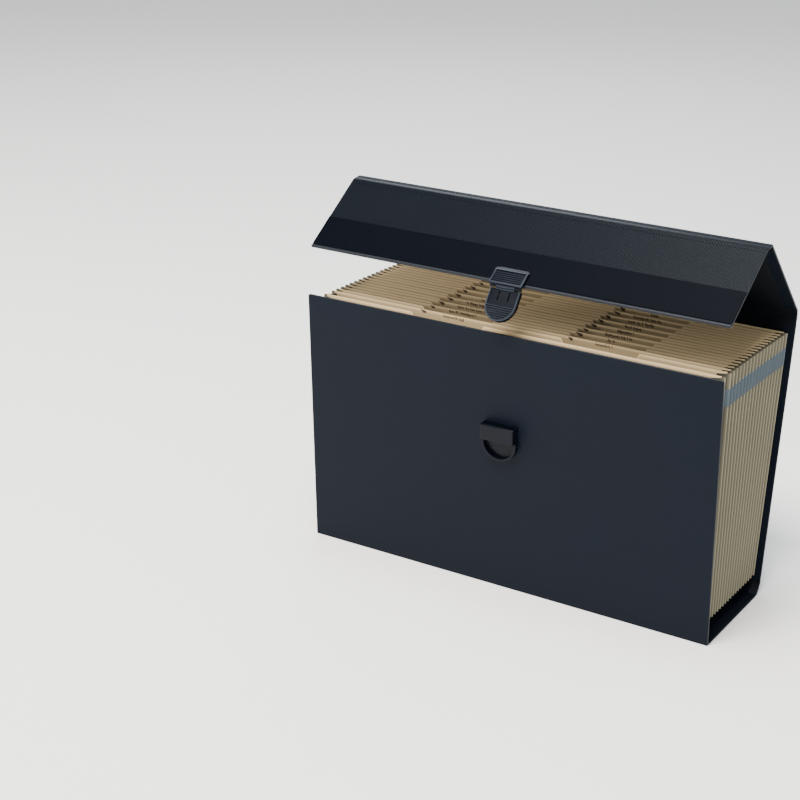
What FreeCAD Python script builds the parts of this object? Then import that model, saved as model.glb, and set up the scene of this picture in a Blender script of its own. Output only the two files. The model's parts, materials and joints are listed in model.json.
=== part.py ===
import FreeCAD, Part
import math
import os
from FreeCAD import Vector

# Expanding file case: a folding cover of stiff panels round a pleated insert of pocket leaves.
# Millimetres. X runs left to right, Y from the front cover to the back cover, Z up.
# Every piece is drawn with the case shut, with Y measured from the shut front cover's outer face.
# The creases are then turned to the opened resting pose, and the origin is moved to the middle
# of the base's underside.

# ---- driving dimensions -------------------------------------------------------------------
WIDTH = 418.0            # cover width
DEPTH = 124.0            # base, front face to back face, case shut
FRONT_HEIGHT = 254.0     # front cover, floor to top edge
BOARD = 2.0              # cover board thickness
CREASE_GAP = 0.3         # gap between two boards at a crease, where only the covering runs on
LID_TOP = 270.0          # outer face of the shut lid
LID_LENGTH = 113.6       # lid board between its two creases
FLAP_LENGTH = 87.0       # flap board, crease to lip
FLAP_LEAN = 2.6          # degrees the shut flap leans out from vertical
SPINE_LENGTH = 10.0      # strip between the two creases of a double crease
REAR_SPINE_TURN = 42.4   # degrees from the back board to the strip above it, case shut
FRONT_SPINE_TURN = 55.0  # degrees from the lid to the strip in front of it, case shut
PANEL_CORNER = 2.5       # corner radius of the cover boards

LEAF_COUNT = 20          # manila leaves, which make one pocket fewer
FIXED_LEAF = 3           # the leaf that stands upright while the others fan out
LEAF_THICKNESS = 0.5
LEAF_HALF_WIDTH = 199.5
LEAF_BOTTOM = 20.0
LEAF_TOP = 250.5
WINDOW_BASE = 245.5      # lowered top edge of a leaf, which shows the label on the leaf behind it
WINDOW_SLANT = 3.4       # sideways run of a window's slanted ends
LEFT_WINDOW = (-106.0, -29.0)
RIGHT_WINDOW = (42.0, 119.0)
FIRST_LEAF_Y = 4.3
LAST_LEAF_Y = 120.0
PIVOT_HEIGHT = 17.0      # height at which the leaves swing, in the pleats under them

GUSSET_TIP = 203.0       # X of the pleats' outer folds
GUSSET_VALLEY = 193.0    # X of the pleats' inner folds
GUSSET_SLANT_WALL = 1.2  # wall measured along X, where the paper runs nearly along X
GUSSET_BOTTOM = 17.5
GUSSET_TOP = 250.0
BOTTOM_PLEAT_RISE = 8.0
TAPE_BAND = (220.0, 236.0)

FRONT_TURN = 3.2         # degrees the front cover leans out at rest
BACK_TURN = 6.8          # degrees the back cover leans out at rest
LID_TURN = 37.6          # degrees the lid has lifted at rest
FLAP_TURN = 8.0          # degrees the flap has opened at rest, shared by its two creases
TONGUE_TURN = 17.0       # degrees the tongue has swung inwards at rest

LIP_BEAD_RADIUS = 1.6    # rolled edge of the flap
LATCH_WIDTH = 33.0
LATCH_HEIGHT = 20.0
LATCH_OVERHANG = 3.0     # latch plate past the lip, over the hinge
LATCH_THICKNESS = 3.2
LATCH_BEVEL = 4.8        # sloped upper end of the latch plate
LATCH_BEVEL_FOOT = 0.7   # its height where it starts
LATCH_RIM = 1.8          # round the ribbed thumb pad
TONGUE_WIDTH = 30.3
TONGUE_TIP = 139.5       # height of the tongue's lower end, case shut
TONGUE_FACES = (-6.6, -2.4)
TONGUE_RIM = 1.5         # raised round the tongue's ribbed face
TONGUE_RECESS = 0.9
HINGE_DROP = 2.5         # tongue's pin below the lip
HINGE_HALF = 9.0         # middle knuckle, half its length
HINGE_END = 15.4         # outer ends of the two side knuckles
HINGE_SIDE_GAP = 0.2
KNUCKLE_RADIUS = 1.7
KNUCKLE_GAP = 0.4        # round a knuckle
SHOULDER_DROP = 2.1      # tongue's upper edge below its pin
LATCH_PIN_RADIUS = 0.8
PIN_CLEARANCE = 0.05

KEEPER_WIDTH = 33.6
KEEPER_BOX = (153.0, 168.0)
KEEPER_DEPTH = 10.4
KEEPER_SLOT = (-7.2, -1.6)
KEEPER_SLOT_WIDTH = 31.4
KEEPER_BACK_RISE = 0.8   # back wall above the box
KEEPER_RIM_DEPTH = 6.0
KEEPER_RIM_FLARE = 0.6   # D-shaped rim wider than the box, each side
KEEPER_RIM_DROP = 2.6    # straight run of the rim under the box
KEEPER_FLOOR = 1.5
KEEPER_PLATE = 0.8       # thickness of the plate behind the cover board

HANDLE_PIVOT_Y = 64.5
HANDLE_PIVOT_RISE = 7.0  # pivot above the lid's outer face
HANDLE_HALF_WIDTH = 64.5
HANDLE_CORNER = 63.0     # heights above the lid's outer face, handle upright
HANDLE_CROWN = 67.5
HANDLE_UNDERSIDE = 47.0
HANDLE_LEG = 12.5
HANDLE_LEG_TOP = 17.0
HANDLE_THICKNESS = 12.0
HANDLE_PIN_RADIUS = 2.0
HANDLE_BASE_HALF = 50.0
HANDLE_BASE_THICKNESS = 2.5

X_AXIS = Vector(1, 0, 0)
HALF = BOARD / 2


# ---- the shut case's crease points, in the Y-Z plane ----------------------------------------
FLAP_DROP = FLAP_LENGTH * math.cos(math.radians(FLAP_LEAN))
FLAP_OUT = FLAP_LENGTH * math.sin(math.radians(FLAP_LEAN))
REAR_SPINE_STEP = (
    SPINE_LENGTH * math.sin(math.radians(REAR_SPINE_TURN)),
    SPINE_LENGTH * math.cos(math.radians(REAR_SPINE_TURN)),
)
FRONT_SPINE_STEP = (
    SPINE_LENGTH * math.cos(math.radians(FRONT_SPINE_TURN)),
    SPINE_LENGTH * math.sin(math.radians(FRONT_SPINE_TURN)),
)
FRONT_FOOT = (HALF, HALF)
FRONT_EDGE = (HALF, FRONT_HEIGHT)
REAR_FOOT = (DEPTH - 8.0, HALF)
BACK_FOOT = (DEPTH - HALF, 9.0)
LID_REAR = (DEPTH - HALF - REAR_SPINE_STEP[0], LID_TOP - HALF)
BACK_TOP = (DEPTH - HALF, LID_REAR[1] - REAR_SPINE_STEP[1])
LID_FRONT = (LID_REAR[0] - LID_LENGTH, LID_REAR[1])
FLAP_TOP = (LID_FRONT[0] - FRONT_SPINE_STEP[0], LID_FRONT[1] - FRONT_SPINE_STEP[1])
FLAP_LIP = (FLAP_TOP[0] - FLAP_OUT, FLAP_TOP[1] - FLAP_DROP)
LIP_STEP = ((FLAP_LIP[0] - FLAP_TOP[0]) / FLAP_LENGTH, (FLAP_LIP[1] - FLAP_TOP[1]) / FLAP_LENGTH)
TONGUE_PIN = (FLAP_LIP[0] + HINGE_DROP * LIP_STEP[0], FLAP_LIP[1] + HINGE_DROP * LIP_STEP[1])
HANDLE_PIVOT = (HANDLE_PIVOT_Y, LID_TOP + HANDLE_PIVOT_RISE)


def leaf_y(index):
    """Y of a leaf at its pivot, with the case shut."""
    return FIRST_LEAF_Y + (LAST_LEAF_Y - FIRST_LEAF_Y) * (index - 1) / (LEAF_COUNT - 1)


def leaf_turn(index):
    """Degrees about +X that a leaf has turned at rest: forwards is positive."""
    if index <= FIXED_LEAF:
        return FRONT_TURN * (FIXED_LEAF - index) / (FIXED_LEAF - 1)
    return -BACK_TURN * (index - FIXED_LEAF) / (LEAF_COUNT - FIXED_LEAF)


# ---- joints: shut position of each axis and its turn about +X at rest -------------------------
TURNS = {
    "front_fold": (FRONT_FOOT, FRONT_TURN),
    "back_fold": (BACK_FOOT, -BACK_TURN),
    "lid_rear_crease": (BACK_TOP, -LID_TURN),
    "lid_crease": (LID_REAR, 0.0),
    "flap_upper_crease": (LID_FRONT, -FLAP_TURN / 2),
    "flap_crease": (FLAP_TOP, -FLAP_TURN / 2),
    "tongue_hinge": (TONGUE_PIN, TONGUE_TURN),
    "handle_pivot": (HANDLE_PIVOT, 0.0),
}
LID_CHAIN = ["back_fold", "lid_rear_crease", "lid_crease"]
FLAP_CHAIN = LID_CHAIN + ["flap_upper_crease", "flap_crease"]
CHAINS = {
    "base": [],
    "front": ["front_fold"],
    "back": ["back_fold"],
    "rear_spine": LID_CHAIN[:2],
    "lid": LID_CHAIN,
    "front_spine": FLAP_CHAIN[:4],
    "flap": FLAP_CHAIN,
    "tongue": FLAP_CHAIN + ["tongue_hinge"],
    "handle": LID_CHAIN + ["handle_pivot"],
}
for number in range(2, LEAF_COUNT):
    if number != FIXED_LEAF:
        TURNS[f"leaf_{number:02d}_fan"] = ((leaf_y(number), PIVOT_HEIGHT), leaf_turn(number))
        CHAINS[f"leaf_{number:02d}"] = [f"leaf_{number:02d}_fan"]


def turned(point, centre, degrees):
    """A Y-Z point turned about an X-parallel axis."""
    cos, sin = math.cos(math.radians(degrees)), math.sin(math.radians(degrees))
    dy, dz = point[0] - centre[0], point[1] - centre[1]
    return (centre[0] + dy * cos - dz * sin, centre[1] + dy * sin + dz * cos)


def point_at_rest(point, chain):
    """Where a point of the shut case lies once the joints of its chain are at rest."""
    for joint in reversed(chain):
        point = turned(point, *TURNS[joint])
    return point


def axis_at_rest(body):
    """Rest position of the axis that carries a body, in the exported frame."""
    chain = CHAINS[body]
    y, z = point_at_rest(TURNS[chain[-1]][0], chain[:-1])
    return (y - DEPTH / 2, z)


def at_rest(shape, body):
    """A shape of the shut case moved to its resting place in the exported frame."""
    shape = shape.copy()
    for joint in reversed(CHAINS[body]):
        (y, z), degrees = TURNS[joint]
        shape.rotate(Vector(0, y, z), X_AXIS, degrees)
    shape.translate(Vector(0, -DEPTH / 2, 0))
    return shape


# ---- drawing helpers -------------------------------------------------------------------------
def box(x, y, z):
    """A block between two values on each axis."""
    corner = Vector(min(x), min(y), min(z))
    return Part.makeBox(abs(x[1] - x[0]), abs(y[1] - y[0]), abs(z[1] - z[0]), corner)


def rod(x, centre, radius):
    """A cylinder along X between two values, centred on a Y-Z point."""
    start = Vector(min(x), centre[0], centre[1])
    return Part.makeCylinder(radius, abs(x[1] - x[0]), start, X_AXIS)


def stud(centre, start, end, radius):
    """A cylinder along Y between start and end, centred on an X-Z point."""
    return Part.makeCylinder(radius, end - start, Vector(centre[0], start, centre[1]), Vector(0, 1, 0))


def fused(shapes):
    """One clean solid from overlapping shapes."""
    result = shapes[0]
    for shape in shapes[1:]:
        result = result.fuse(shape)
    return result.removeSplitter()


def prism(points, direction):
    """A closed polygon swept along a vector."""
    wire = Part.makePolygon([Vector(*p) for p in points + points[:1]])
    return Part.Face(wire).extrude(Vector(*direction))


def laid(shape, start, end):
    """A shape drawn with Y along a board and Z through it, laid on the board that runs start to end."""
    shape = shape.copy()
    degrees = math.degrees(math.atan2(end[1] - start[1], end[0] - start[0]))
    shape.rotate(Vector(0, 0, 0), X_AXIS, degrees)
    shape.translate(Vector(0, start[0], start[1]))
    return shape


def rounded_sheet(half_width, low, high, radius, thickness):
    """A flat sheet with rounded corners, centred on Z = 0."""
    sheet = box((-half_width, half_width), (low, high), (-thickness / 2, thickness / 2))
    upright = [e for e in sheet.Edges if abs(e.BoundBox.ZLength - thickness) < 1e-6]
    return sheet.makeFillet(radius, upright)


def board(start, end, edge_radius=0.0):
    """A cover board from one crease to the next. Its start is rounded about its own crease, and it
    stops short of the next crease, or has rounded corners and a free edge of a given radius."""
    length = math.dist(start, end)
    half_width = WIDTH / 2
    high = length - (edge_radius or HALF + CREASE_GAP)
    body = box((-half_width, half_width), (0, high), (-HALF, HALF))
    shape = body.fuse(rod((-half_width, half_width), (0, 0), HALF))
    if edge_radius:
        shape = shape.fuse(rod((-half_width, half_width), (high, 0), edge_radius))
        shape = shape.common(rounded_sheet(half_width, -HALF, length, PANEL_CORNER, 4 * HALF))
    return laid(shape.removeSplitter(), start, end)


def holes(shape, studs):
    """A shape with round holes cut through it."""
    for cutter in studs:
        shape = shape.cut(cutter)
    return shape


# ---- cover ---------------------------------------------------------------------------------
KEEPER_RIVETS = [(-11.0, 161.0), (11.0, 161.0), (-6.0, 145.5), (6.0, 145.5)]
KEEPER_RIVET_RADIUS = 1.2
KEEPER_RIVET_REACH = 1.2    # rivets' depth in the keeper's floor
RIVET_HEAD = 0.6


def keeper_holes():
    """Cutters for the keeper's rivets, from inside the front cover into the keeper's floor."""
    radius = KEEPER_RIVET_RADIUS + PIN_CLEARANCE
    return [stud(place, -KEEPER_RIVET_REACH - 0.1, 2 * BOARD, radius) for place in KEEPER_RIVETS]


def front_panel():
    return holes(board(FRONT_FOOT, FRONT_EDGE, HALF), keeper_holes())


def bottom_panel():
    """The base board, cut short at both creases."""
    low = FRONT_FOOT[0] + HALF + CREASE_GAP
    high = REAR_FOOT[0] - HALF - CREASE_GAP
    return box((-WIDTH / 2, WIDTH / 2), (low, high), (0, BOARD))


def back_panel():
    return board(BACK_FOOT, BACK_TOP)


# ---- keeper on the front cover ------------------------------------------------------------------
def keeper():
    """Slotted box with a deep D-shaped rim under it, moulded in one piece."""
    half = KEEPER_WIDTH / 2
    low, high = KEEPER_BOX
    housing = box((-half, half), (-KEEPER_DEPTH, 0), (low, high))
    outer = [e for e in housing.Edges if e.BoundBox.YMax < -KEEPER_DEPTH + 1e-6]
    housing = housing.makeFillet(0.9, outer)
    shape = fused([housing, d_block(half + KEEPER_RIM_FLARE, low, (-KEEPER_RIM_DEPTH, 0))])
    wall = half - KEEPER_SLOT_WIDTH / 2
    back = box((wall - half, half - wall), (KEEPER_SLOT[1], 0), (high - 1, high + KEEPER_BACK_RISE))
    shape = fused([shape, back])
    recess = d_block(KEEPER_SLOT_WIDTH / 2, low, (-2 * KEEPER_DEPTH, -KEEPER_FLOOR))
    slot_half = KEEPER_SLOT_WIDTH / 2
    slot = box((-slot_half, slot_half), KEEPER_SLOT, (low - 1, high + 6))
    return holes(shape.cut(recess).cut(slot), keeper_holes())


def d_block(radius, top, depth):
    """Block with a round lower end that hangs below a height on the front cover."""
    centre = top - KEEPER_RIM_DROP
    straight = box((-radius, radius), depth, (centre, top))
    start = Vector(0, depth[0], centre)
    disc = Part.makeCylinder(radius, depth[1] - depth[0], start, Vector(0, 1, 0))
    disc = disc.common(box((-radius, radius), depth, (centre - radius, centre + 0.5)))
    return fused([straight, disc])


def keeper_backing_plate():
    plate = box((-15, 15), (BOARD, BOARD + KEEPER_PLATE), (141, 166))
    upright = [e for e in plate.Edges if e.BoundBox.YLength > 0.9 * KEEPER_PLATE]
    return holes(plate.makeFillet(3.0, upright), keeper_holes())


def keeper_rivets():
    """Rivets from the keeper's floor to flat heads on the backing plate."""
    inside = BOARD + KEEPER_PLATE
    solids = []
    for place in KEEPER_RIVETS:
        shank = stud(place, -KEEPER_RIVET_REACH, inside + 0.3, KEEPER_RIVET_RADIUS)
        head = stud(place, inside, inside + RIVET_HEAD, 2.0 * KEEPER_RIVET_RADIUS)
        solids.append(shank.fuse(head).removeSplitter())
    return Part.makeCompound(solids)


# ---- lid and handle -------------------------------------------------------------------------------
HANDLE_RIVETS = [(-40.0, 55.0), (40.0, 55.0), (-40.0, 80.0), (40.0, 80.0), (-20.0, 92.0), (20.0, 92.0)]
HANDLE_RIVET_RADIUS = 1.6
LID_PLATE = 1.0             # thickness of the plate under the lid board
HANDLE_BASE_FRONT = 50.0    # base plate's straight front edge, sides and bowed rear edge
HANDLE_BASE_SIDE = 78.0
HANDLE_BASE_CROWN = 103.0
HANDLE_EAR = 5.6            # radius of the ears round the pivot pins
HANDLE_EAR_SPAN = (44.0, 51.2)
HANDLE_PIN_DEPTH = 5.2      # pins' reach into the ears


def upright_rods(places, low, high, radius):
    """Vertical cylinders at a list of X-Y places."""
    return [Part.makeCylinder(radius, high - low, Vector(x, y, low)) for x, y in places]


def lid_panel():
    cutters = upright_rods(HANDLE_RIVETS, LID_TOP - 5, LID_TOP + 5, HANDLE_RIVET_RADIUS + PIN_CLEARANCE)
    return holes(board(LID_REAR, LID_FRONT), cutters)


def handle_base_plate():
    """Low plate between the handle's legs, with a bowed rear edge and an ear for each pin."""
    top = LID_TOP + HANDLE_BASE_THICKNESS
    reach = HANDLE_BASE_HALF
    corners = [(-reach, HANDLE_BASE_SIDE), (-reach, HANDLE_BASE_FRONT)]
    corners += [(reach, HANDLE_BASE_FRONT), (reach, HANDLE_BASE_SIDE)]
    corners = [Vector(x, y, LID_TOP) for x, y in corners]
    edges = [Part.makeLine(corners[i], corners[i + 1]) for i in range(3)]
    edges.append(Part.Arc(corners[3], Vector(0, HANDLE_BASE_CROWN, LID_TOP), corners[0]).toShape())
    plate = Part.Face(Part.Wire(edges)).extrude(Vector(0, 0, HANDLE_BASE_THICKNESS))
    rim = [e for e in plate.Edges if e.BoundBox.ZMin > top - 1e-3]
    shapes = [plate.makeChamfer(0.8, rim)]
    ear_width = (HANDLE_PIVOT_Y - HANDLE_EAR, HANDLE_PIVOT_Y + HANDLE_EAR)
    for side in (-1, 1):
        span = tuple(side * x for x in HANDLE_EAR_SPAN)
        shapes.append(rod(span, HANDLE_PIVOT, HANDLE_EAR))
        shapes.append(box(span, ear_width, (LID_TOP, HANDLE_PIVOT[1])))
    shape = fused(shapes)
    for side in (-1, 1):
        span = (side * (reach - HANDLE_PIN_DEPTH), side * (reach + 2))
        shape = shape.cut(rod(span, HANDLE_PIVOT, HANDLE_PIN_RADIUS + PIN_CLEARANCE))
    radius = HANDLE_RIVET_RADIUS + PIN_CLEARANCE
    return holes(shape, upright_rods(HANDLE_RIVETS, LID_TOP - 1, top + 1, radius))


def handle_rivets():
    """Rivets from domed heads on the base plate, through the lid, to tails under its backing plate."""
    top = LID_TOP + HANDLE_BASE_THICKNESS
    bottom = LID_TOP - BOARD - LID_PLATE
    solids = []
    for place in HANDLE_RIVETS:
        shank = upright_rods([place], bottom - 0.3, top + 0.3, HANDLE_RIVET_RADIUS)[0]
        head = upright_rods([place], top, top + 0.8, 2.0 * HANDLE_RIVET_RADIUS)[0]
        head = head.makeChamfer(0.5, [e for e in head.Edges if e.BoundBox.ZMin > top + 0.7])
        tail = upright_rods([place], bottom - 0.7, bottom, 1.6 * HANDLE_RIVET_RADIUS)[0]
        solids.append(shank.fuse(head).fuse(tail).removeSplitter())
    return Part.makeCompound(solids)


def lid_backing_plate():
    top = LID_TOP - BOARD
    margin = 1.0
    width = HANDLE_BASE_HALF - margin
    depth = (HANDLE_BASE_FRONT + margin, HANDLE_BASE_CROWN + margin)
    plate = box((-width, width), depth, (top - LID_PLATE, top))
    upright = [e for e in plate.Edges if e.BoundBox.ZLength > 0.9 * LID_PLATE]
    cutters = upright_rods(HANDLE_RIVETS, LID_TOP - 8, LID_TOP, HANDLE_RIVET_RADIUS + PIN_CLEARANCE)
    return holes(plate.makeFillet(5.0, upright), cutters)


def handle_grip():
    """Carry handle: two legs that widen upwards and a crowned grip with a straight underside."""
    reach, lift = HANDLE_HALF_WIDTH, LID_TOP
    low = HANDLE_PIVOT[1]
    inner_low = reach - HANDLE_LEG
    inner_high = reach - HANDLE_LEG_TOP
    depth = HANDLE_THICKNESS
    front = HANDLE_PIVOT_Y - depth / 2
    right_top = Vector(reach, front, lift + HANDLE_CORNER)
    left_top = Vector(-reach, front, lift + HANDLE_CORNER)
    crown = Vector(0, front, lift + HANDLE_CROWN)
    ring = [
        left_top,
        Vector(-reach, front, low),
        Vector(-inner_low, front, low),
        Vector(-inner_high, front, lift + HANDLE_UNDERSIDE),
        Vector(inner_high, front, lift + HANDLE_UNDERSIDE),
        Vector(inner_low, front, low),
        Vector(reach, front, low),
        right_top,
    ]
    edges = [Part.makeLine(ring[i], ring[i + 1]) for i in range(len(ring) - 1)]
    edges.append(Part.Arc(right_top, crown, left_top).toShape())
    bar = Part.Face(Part.Wire(edges)).extrude(Vector(0, depth, 0))
    outer = [e for e in bar.Edges if e.BoundBox.YLength < 1e-6 and e.BoundBox.ZMax > low + 1]
    bar = bar.makeFillet(2.4, outer)
    ends = []
    for side in (-1, 1):
        ends.append(rod((side * inner_low, side * reach), HANDLE_PIVOT, depth / 2))
    shape = fused([bar] + ends)
    bore = HANDLE_PIN_RADIUS + PIN_CLEARANCE
    for side in (-1, 1):
        shape = shape.cut(rod((side * (inner_low - 1), side * (reach - 2.5)), HANDLE_PIVOT, bore))
    shape.rotate(Vector(0, *HANDLE_PIVOT), X_AXIS, -90)
    return shape


def handle_pins():
    inner = HANDLE_BASE_HALF - 5.0
    outer = HANDLE_HALF_WIDTH - 3.0
    return Part.makeCompound([rod((s * inner, s * outer), HANDLE_PIVOT, HANDLE_PIN_RADIUS) for s in (-1, 1)])


# ---- flap and latch, drawn along the flap board: Y from its crease to its lip, outside is -Z -----------
LATCH_RIVETS = [(-10.0, FLAP_LENGTH - 11.0), (10.0, FLAP_LENGTH - 11.0)]
LATCH_RIVET_RADIUS = 1.4
LATCH_RIVET_REACH = 1.5   # rivets' depth in the latch plate
LATCH_GAP = 0.2           # round the latch plate
LATCH_BACKING = 1.0       # thickness of the plate inside the flap
TONGUE_RIBS = 6
TONGUE_RIB_PITCH = 2.1
BAND_THICKNESS = 0.6
BAND_START = 49.0
LATCH_PLATE_TOP = FLAP_LENGTH + LATCH_OVERHANG - LATCH_HEIGHT
LIP_PIN = (FLAP_LENGTH + HINGE_DROP, 0.0)


def on_flap(shape):
    return laid(shape, FLAP_TOP, FLAP_LIP)


def latch_holes():
    radius = LATCH_RIVET_RADIUS + PIN_CLEARANCE
    return [on_flap(s) for s in upright_rods(LATCH_RIVETS, -HALF - LATCH_RIVET_REACH - 0.1, 4.0, radius)]


def flap_panel():
    shape = board(FLAP_TOP, FLAP_LIP, LIP_BEAD_RADIUS)
    half = LATCH_WIDTH / 2 + LATCH_GAP
    bead = box((-half, half), (FLAP_LENGTH - 2 * LIP_BEAD_RADIUS, FLAP_LENGTH), (-BOARD, -HALF))
    return holes(shape.cut(on_flap(bead)), latch_holes())


def flap_lip_band():
    """Smooth reinforcing band over the lower part of the flap, with an opening for the latch plate."""
    low, high = BAND_START, FLAP_LENGTH - 2 * LIP_BEAD_RADIUS
    sheet = rounded_sheet(WIDTH / 2 - 0.5, low, high, PANEL_CORNER - 1, BAND_THICKNESS)
    sheet.translate(Vector(0, 0, -HALF - BAND_THICKNESS / 2))
    half = LATCH_WIDTH / 2 + LATCH_GAP
    opening = box((-half, half), (LATCH_PLATE_TOP - LATCH_GAP, high + 1), (-HALF - 2, HALF))
    return on_flap(sheet.cut(opening))


def latch_plate():
    """Plate with a sloped upper end, side rims round a ribbed thumb pad, and two hinge knuckles that
    its lower edge hides."""
    half = LATCH_WIDTH / 2
    low, high = LATCH_PLATE_TOP, FLAP_LENGTH + LATCH_OVERHANG
    face = -HALF - LATCH_THICKNESS
    behind = -KNUCKLE_RADIUS - KNUCKLE_GAP
    lip = FLAP_LENGTH + CREASE_GAP
    profile = [(low, -HALF), (low, -HALF - LATCH_BEVEL_FOOT), (low + LATCH_BEVEL, face), (high, face)]
    profile += [(high, behind), (lip, behind), (lip, -HALF)]
    plate = prism([(-half, s, n) for s, n in profile], (LATCH_WIDTH, 0, 0))
    plate = plate.common(rounded_sheet(half, low, high + 10, 4.0, 20))
    outline = [e for e in plate.Edges if e.BoundBox.ZMax < face + 1e-6 and e.BoundBox.YMax > low + LATCH_BEVEL + 0.1]
    plate = plate.makeFillet(0.8, outline)
    pad_low, pad_high = low + LATCH_BEVEL + 0.4, high - LATCH_RIM
    pad_half = half - LATCH_RIM
    plate = plate.cut(box((-pad_half, pad_half), (pad_low, pad_high), (face - 1, face + 1.0)))
    shapes = [plate] + pad_ribs(pad_half + 0.3, pad_low, pad_high, (face + 0.5, face + 1.2))
    for side in (-1, 1):
        span = (side * (HINGE_HALF + HINGE_SIDE_GAP), side * HINGE_END)
        shapes.append(rod(span, LIP_PIN, KNUCKLE_RADIUS))
        shapes.append(box(span, (lip, LIP_PIN[0]), (face + 1.0, 0)))
    shape = fused(shapes).cut(rod((-half, half), LIP_PIN, LATCH_PIN_RADIUS + PIN_CLEARANCE))
    middle = HINGE_HALF + HINGE_SIDE_GAP
    shape = shape.cut(rod((-middle, middle), LIP_PIN, KNUCKLE_RADIUS + KNUCKLE_GAP))
    return holes(on_flap(shape), latch_holes())


def pad_ribs(half_width, low, high, span, count=5, width=0.8):
    """Evenly spaced ribs across a thumb pad."""
    pitch = (high - low) / (count + 1)
    middles = [low + (k + 1) * pitch for k in range(count)]
    return [box((-half_width, half_width), (m - width / 2, m + width / 2), span) for m in middles]


def latch_backing_plate():
    plate = rounded_sheet(15.0, FLAP_LENGTH - 18.0, FLAP_LENGTH - 3.0, 2.5, LATCH_BACKING)
    plate.translate(Vector(0, 0, HALF + LATCH_BACKING / 2))
    return holes(on_flap(plate), latch_holes())


def latch_rivets():
    """Rivets from the latch plate to flat heads on its backing plate."""
    inside = HALF + LATCH_BACKING
    solids = []
    for place in LATCH_RIVETS:
        shank = upright_rods([place], -HALF - LATCH_RIVET_REACH, inside + 0.3, LATCH_RIVET_RADIUS)[0]
        head = upright_rods([place], inside, inside + RIVET_HEAD, 1.8 * LATCH_RIVET_RADIUS)[0]
        solids.append(on_flap(shank.fuse(head).removeSplitter()))
    return Part.makeCompound(solids)


def latch_pin():
    return on_flap(rod((0.1 - HINGE_END, HINGE_END - 0.1), LIP_PIN, LATCH_PIN_RADIUS))


def tongue_blank(inset, faces, top):
    """Plate with a round lower end, smaller all round than the tongue by an inset."""
    half = TONGUE_WIDTH / 2 - inset
    centre = TONGUE_TIP + TONGUE_WIDTH / 2
    plate = box((-half, half), faces, (centre, top))
    start = Vector(0, faces[0], centre)
    return fused([plate, Part.makeCylinder(half, faces[1] - faces[0], start, Vector(0, 1, 0))])


def latch_tongue():
    """Hinged tongue with a ribbed, rimmed D-shaped end and two slots, drawn hanging straight."""
    half = TONGUE_WIDTH / 2
    outer, inner = TONGUE_FACES
    centre = TONGUE_TIP + half
    shoulder = TONGUE_PIN[1] - SHOULDER_DROP
    plate = tongue_blank(0, TONGUE_FACES, shoulder)
    rim = [e for e in plate.Edges if e.BoundBox.YMax < outer + 1e-6 and e.BoundBox.ZMin < centre + 1]
    plate = plate.makeChamfer(0.5, rim)
    floor = outer + TONGUE_RECESS
    plate = plate.cut(tongue_blank(TONGUE_RIM, (outer - 1, floor), shoulder + 1))
    neck = box((-HINGE_HALF, HINGE_HALF), TONGUE_FACES, (shoulder - 1, TONGUE_PIN[1]))
    shapes = [plate, neck, rod((-HINGE_HALF, HINGE_HALF), TONGUE_PIN, KNUCKLE_RADIUS)]
    for k in range(TONGUE_RIBS):
        z = TONGUE_TIP + 3.4 + k * TONGUE_RIB_PITCH
        reach = math.sqrt(half**2 - (centre - z) ** 2) - TONGUE_RIM + 0.2
        shapes.append(box((-reach, reach), (floor - 0.5, floor + 0.2), (z - 0.45, z + 0.45)))
    shape = fused(shapes)
    for side in (-1, 1):
        slot = box((side * 4.6, side * 5.8), (outer - 1, inner + 1), (shoulder - 10.5, shoulder - 2.0))
        shape = shape.cut(slot)
    return shape.cut(rod((-half, half), TONGUE_PIN, LATCH_PIN_RADIUS + PIN_CLEARANCE))


# ---- pocket leaves and the pleated insert --------------------------------------------------------
def leaf(index):
    """One manila leaf with the window for the label behind it, upright at its place in the shut case."""
    y = leaf_y(index) - LEAF_THICKNESS / 2
    reach = LEAF_HALF_WIDTH
    outline = [(-reach, LEAF_BOTTOM), (reach, LEAF_BOTTOM), (reach, LEAF_TOP)]
    if 1 < index < LEAF_COUNT:
        low, high = LEFT_WINDOW if index % 2 == 0 else RIGHT_WINDOW
        outline += [(high, LEAF_TOP), (high - WINDOW_SLANT, WINDOW_BASE)]
        outline += [(low + WINDOW_SLANT, WINDOW_BASE), (low, LEAF_TOP)]
    outline.append((-reach, LEAF_TOP))
    return prism([(x, y, z) for x, z in outline], (0, LEAF_THICKNESS, 0))


def leaf_body(index):
    """The body that carries a leaf: the covers hold the outermost two, the base the fixed one."""
    special = {1: "front", FIXED_LEAF: "base", LEAF_COUNT: "back"}
    return special.get(index, f"leaf_{index:02d}")


def leaf_y_at(index, height):
    """Y of a leaf's middle plane at a height above the floor, in the exported frame, at rest."""
    chain = CHAINS[leaf_body(index)]
    y = leaf_y(index)
    low = point_at_rest((y, LEAF_BOTTOM), chain)
    high = point_at_rest((y, LEAF_TOP), chain)
    share = (height - low[1]) / (high[1] - low[1])
    return low[0] + share * (high[0] - low[0]) - DEPTH / 2


def pleat_line(height):
    """Zigzag of (reach, y) points: an outer fold at each leaf, an inner fold between two leaves."""
    line = []
    for index in range(1, LEAF_COUNT + 1):
        y = leaf_y_at(index, height)
        if index > 1:
            line.append((GUSSET_VALLEY, (line[-1][1] + y) / 2))
        line.append((GUSSET_TIP, y))
    return line


def pleat_wire(height, side, outer_shift, inner_shift):
    """Closed zigzag outline of a pleated wall at one height."""
    line = pleat_line(height)
    outline = [(side * (x + outer_shift), y, height) for x, y in line]
    outline += [(side * (x + inner_shift), y, height) for x, y in reversed(line)]
    return Part.makePolygon([Vector(*p) for p in outline + outline[:1]])


def pleated_wall(side, low, high, outer_shift, inner_shift):
    wires = [pleat_wire(z, side, outer_shift, inner_shift) for z in (low, high)]
    return Part.makeLoft(wires, True, True)


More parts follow.
